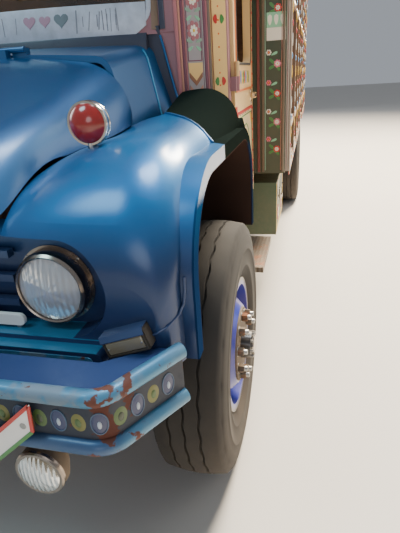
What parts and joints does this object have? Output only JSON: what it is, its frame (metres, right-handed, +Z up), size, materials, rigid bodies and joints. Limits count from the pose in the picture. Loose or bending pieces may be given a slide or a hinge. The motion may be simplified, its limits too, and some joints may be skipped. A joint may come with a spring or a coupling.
{
  "type": "decorated bonneted truck",
  "caption": "Bonneted goods truck with a rounded blue nose, decorated wooden cab, crown over the cab and a high wooden load body, with steering, rolling wheels and opening doors.",
  "frame": {"origin": "on the ground under the middle of the truck's overall box", "axes": "+X to the truck's left, +Y to its rear along the long side, +Z up"},
  "size_m": [2.46, 7.255, 3.4199],
  "materials": {
    "blue_paint": "deep blue gloss enamel, worn at edges",
    "bumper_paint": "blue enamel with hand painted ovals, rust at corners",
    "wheel_paint": "royal blue enamel, dusty",
    "frame_paint": "dark chassis paint with road dirt",
    "iron": "rough cast iron with oil and dust",
    "steel": "plain steel, dull",
    "tyre": "worn ribbed rubber",
    "chrome": "chromed, slightly hazy",
    "lamp_glass": "fluted lamp glass",
    "screen_glass": "clear screen glass",
    "red_lens": "red lens in a chromed rim",
    "indicator_lens": "ribbed pale lens in a dark frame",
    "plate_paint": "blank white plate with a red edge",
    "rubber": "black rubber sheet",
    "cab_wood": "painted panelled wood with flowers",
    "door_wood": "carved and painted wood, cream and gold",
    "body_wood": "painted boards in panels with flowers",
    "crown_wood": "painted and mirrored panels",
    "deck_wood": "bare worn boards",
    "seat_cover": "stitched red seat cover",
    "wheel_rim_plastic": "black moulded steering wheel"
  },
  "bodies": {
    "chassis": {"chassis_frame": "frame_paint", "rear_bar": "frame_paint", "engine_block": "iron", "radiator": "frame_paint", "propeller_shaft": "frame_paint", "springs": "iron", "front_axle": "iron", "rear_axle": "iron", "fuel_tank": "blue_paint", "tool_chest": "body_wood", "exhaust": "steel", "steps": "frame_paint", "front_bumper": "bumper_paint", "number_plate": "plate_paint", "fog_lamps": "chrome", "nose_panel": "blue_paint", "grille_bars": "blue_paint", "headlamps": "chrome", "headlamp_lenses": "lamp_glass", "indicator_lamps": "indicator_lens", "wing_left": "blue_paint", "wing_right": "blue_paint", "wing_lamps": "red_lens", "scuttle": "blue_paint", "windscreen": "screen_glass", "cab_front": "cab_wood", "cab_floor": "frame_paint", "cab_rear": "cab_wood", "cab_roof": "cab_wood", "seat_base": "blue_paint", "seat_cushion": "seat_cover", "seat_back": "seat_cover", "dashboard": "blue_paint", "mirrors": "chrome", "crown": "crown_wood", "load_floor": "deck_wood", "load_bearers": "deck_wood", "rear_board": "body_wood", "load_front_wall": "body_wood", "load_side_left": "body_wood", "load_side_right": "body_wood", "rear_frame": "body_wood", "mud_flaps": "rubber", "tail_lamps": "red_lens"},
    "knuckle_l": {"knuckle_left": "iron"},
    "knuckle_r": {"knuckle_right": "iron"},
    "track_rod": {"tie_rod": "steel"},
    "wheel_front_l": {"front_tyre_left": "tyre", "front_wheel_left": "wheel_paint"},
    "wheel_front_r": {"front_tyre_right": "tyre", "front_wheel_right": "wheel_paint"},
    "wheels_rear_l": {"rear_tyres_left": "tyre", "rear_wheels_left": "wheel_paint"},
    "wheels_rear_r": {"rear_tyres_right": "tyre", "rear_wheels_right": "wheel_paint"},
    "door_l": {"door_left": "door_wood"},
    "door_r": {"door_right": "door_wood"},
    "bonnet_lid": {"bonnet": "blue_paint"},
    "tail_board": {"tailgate": "body_wood"},
    "hand_wheel": {"steering_wheel": "wheel_rim_plastic"}
  },
  "joints": [
    {"name": "steer_left", "type": "hinge", "parent": "chassis", "child": "knuckle_l", "pos_m": [0.84, -2.7025, 0.51], "axis": [0, 0, 1], "range_deg": [-32, 32]},
    {"name": "steer_right", "type": "hinge", "parent": "chassis", "child": "knuckle_r", "pos_m": [-0.84, -2.7025, 0.51], "axis": [0, 0, 1], "range_deg": [-32, 32]},
    {"name": "track_rod_eye", "type": "hinge", "parent": "knuckle_l", "child": "track_rod", "pos_m": [0.84, -2.5125, 0.35], "axis": [0, 0, 1], "range_deg": [-32, 32]},
    {"name": "roll_front_left", "type": "hinge", "parent": "knuckle_l", "child": "wheel_front_l", "pos_m": [0.98, -2.7025, 0.51], "axis": [1, 0, 0], "continuous": true},
    {"name": "roll_front_right", "type": "hinge", "parent": "knuckle_r", "child": "wheel_front_r", "pos_m": [-0.98, -2.7025, 0.51], "axis": [1, 0, 0], "continuous": true},
    {"name": "roll_rear_left", "type": "hinge", "parent": "chassis", "child": "wheels_rear_l", "pos_m": [0.935, 1.5375, 0.51], "axis": [1, 0, 0], "continuous": true},
    {"name": "roll_rear_right", "type": "hinge", "parent": "chassis", "child": "wheels_rear_r", "pos_m": [-0.935, 1.5375, 0.51], "axis": [1, 0, 0], "continuous": true},
    {"name": "door_left_swing", "type": "hinge", "parent": "chassis", "child": "door_l", "pos_m": [1.018, -2.1465, 1.56], "axis": [0, 0, -1], "range_deg": [0, 70]},
    {"name": "door_right_swing", "type": "hinge", "parent": "chassis", "child": "door_r", "pos_m": [-1.018, -2.1465, 1.56], "axis": [0, 0, 1], "range_deg": [0, 70]},
    {"name": "bonnet_lift", "type": "hinge", "parent": "chassis", "child": "bonnet_lid", "pos_m": [0, -2.655, 1.668], "axis": [-1, 0, 0], "range_deg": [0, 50]},
    {"name": "tailgate_drop", "type": "hinge", "parent": "chassis", "child": "tail_board", "pos_m": [0, 3.6105, 1.21], "axis": [-1, 0, 0], "range_deg": [0, 90]},
    {"name": "steering_turn", "type": "hinge", "parent": "chassis", "child": "hand_wheel", "pos_m": [-0.38, -2.0625, 1.64], "axis": [0, 0.6776, 0.7354], "range_deg": [-576, 576]}
  ],
  "couplings": [
    {"joint": "steer_right", "follows": "steer_left", "ratio": 1},
    {"joint": "track_rod_eye", "follows": "steer_left", "ratio": -1},
    {"joint": "steering_turn", "follows": "steer_left", "ratio": 18}
  ]
}
